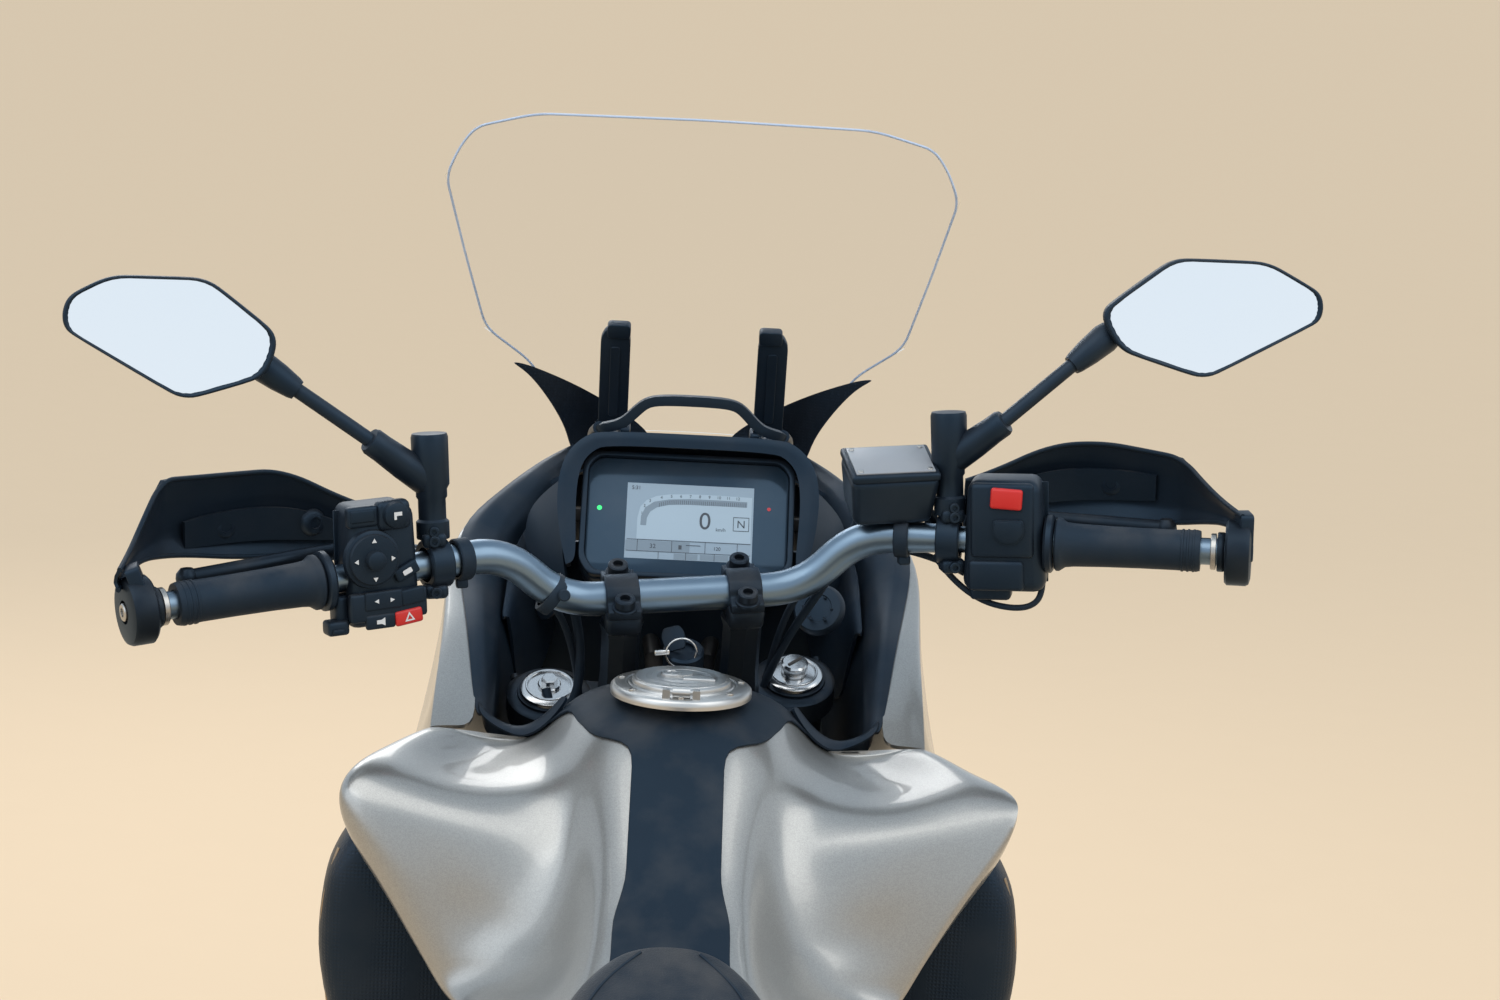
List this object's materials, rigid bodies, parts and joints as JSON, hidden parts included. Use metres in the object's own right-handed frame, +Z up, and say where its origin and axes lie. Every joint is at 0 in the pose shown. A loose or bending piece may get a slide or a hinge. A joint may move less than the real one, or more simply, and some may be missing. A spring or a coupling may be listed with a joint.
{
  "type": "sport touring motorcycle",
  "caption": "Upright road motorcycle with touring screen, hand guards and side fairings, for riding and touring; turning wheels, steering, folding stands and a hinged fuel flap",
  "frame": {"origin": "on the floor, below the middle of the bounding box, on the motorcycle's middle plane", "axes": "+X is the rider's right, +Y is the direction of travel, +Z is up; the front wheel is turned 9.4 degrees to the left"},
  "size_m": [0.9904, 2.2265, 1.497],
  "materials": {
    "alloy_bar": "satin",
    "alloy_black": "satin",
    "amber_lens": "gloss",
    "chrome_bright": "polished",
    "clear_screen": "clear",
    "display_glass": "gloss",
    "engine_grey": "satin",
    "lamp_glass": "clear",
    "mirror_face": "polished",
    "paint_silver": "gloss",
    "plastic_dark": "matt",
    "plastic_grain": "fine grain",
    "red_lens": "gloss",
    "rubber_black": "matt",
    "seat_vinyl": "grained",
    "steel_black": "satin",
    "steel_bright": "brushed",
    "tyre_black": "matt"
  },
  "bodies": {
    "chassis": {"chain": "steel_bright", "dash_housing": "plastic_dark", "dash_screen": "display_glass", "engine": "engine_grey", "exhaust": "steel_bright", "filler_ring": "steel_bright", "foot_controls": "steel_black", "frame": "steel_black", "fuel_tank": "paint_silver", "grab_rack": "plastic_dark", "headlight": "lamp_glass", "indicators": "amber_lens", "nose_fairing": "plastic_dark", "radiator": "alloy_black", "rear_mudguard": "plastic_dark", "screen_carrier": "plastic_dark", "seat": "seat_vinyl", "shock": "steel_black", "shrouds": "plastic_grain", "side_fairings": "paint_silver", "silencer": "steel_bright", "skid_plate": "alloy_black", "swingarm": "alloy_black", "tail_fairing": "paint_silver", "tail_light": "red_lens", "tank_cover": "plastic_grain", "windshield": "clear_screen"},
    "steering": {"yokes": "alloy_black", "fork_tubes": "alloy_black", "fork_legs": "chrome_bright", "handlebar": "alloy_bar", "grips": "rubber_black", "switchgear": "plastic_dark", "levers": "alloy_black", "hand_guards": "plastic_dark", "mirrors": "plastic_dark", "mirror_glass": "mirror_face", "front_mudguard": "plastic_dark", "calipers": "alloy_black"},
    "front_wheel": {"front_rim": "alloy_black", "front_tyre": "tyre_black", "front_discs": "steel_bright"},
    "rear_wheel": {"rear_rim": "alloy_black", "rear_tyre": "tyre_black", "rear_disc_sprocket": "steel_bright"},
    "centre_stand": {"centre_stand": "steel_black"},
    "side_stand": {"side_stand": "steel_black"},
    "filler_cap": {"filler_cap": "plastic_dark"}
  },
  "joints": [
    {"name": "steering_turn", "type": "hinge", "parent": "chassis", "child": "steering", "pos_m": [0, 0.43397, 1.00767], "axis": [0, -0.4305, 0.9026], "range_deg": [-43.4, 24.6]},
    {"name": "front_wheel_spin", "type": "hinge", "parent": "steering", "child": "front_wheel", "pos_m": [-0.00653, 0.80151, 0.32877], "axis": [0.9866, 0.1474, 0.0703], "continuous": true},
    {"name": "rear_wheel_spin", "type": "hinge", "parent": "chassis", "child": "rear_wheel", "pos_m": [0, -0.729, 0.336], "axis": [1, 0, 0], "continuous": true},
    {"name": "centre_stand_fold", "type": "hinge", "parent": "chassis", "child": "centre_stand", "pos_m": [0, -0.25, 0.292], "axis": [-1, 0, 0], "range_deg": [0, 88]},
    {"name": "side_stand_fold", "type": "hinge", "parent": "chassis", "child": "side_stand", "pos_m": [-0.176, -0.04, 0.262], "axis": [0.7925, -0.0701, -0.6059], "range_deg": [0, 105]},
    {"name": "filler_cap_lid", "type": "hinge", "parent": "chassis", "child": "filler_cap", "pos_m": [0, 0.263, 1.0722], "axis": [1, 0, 0], "range_deg": [0, 95]}
  ]
}
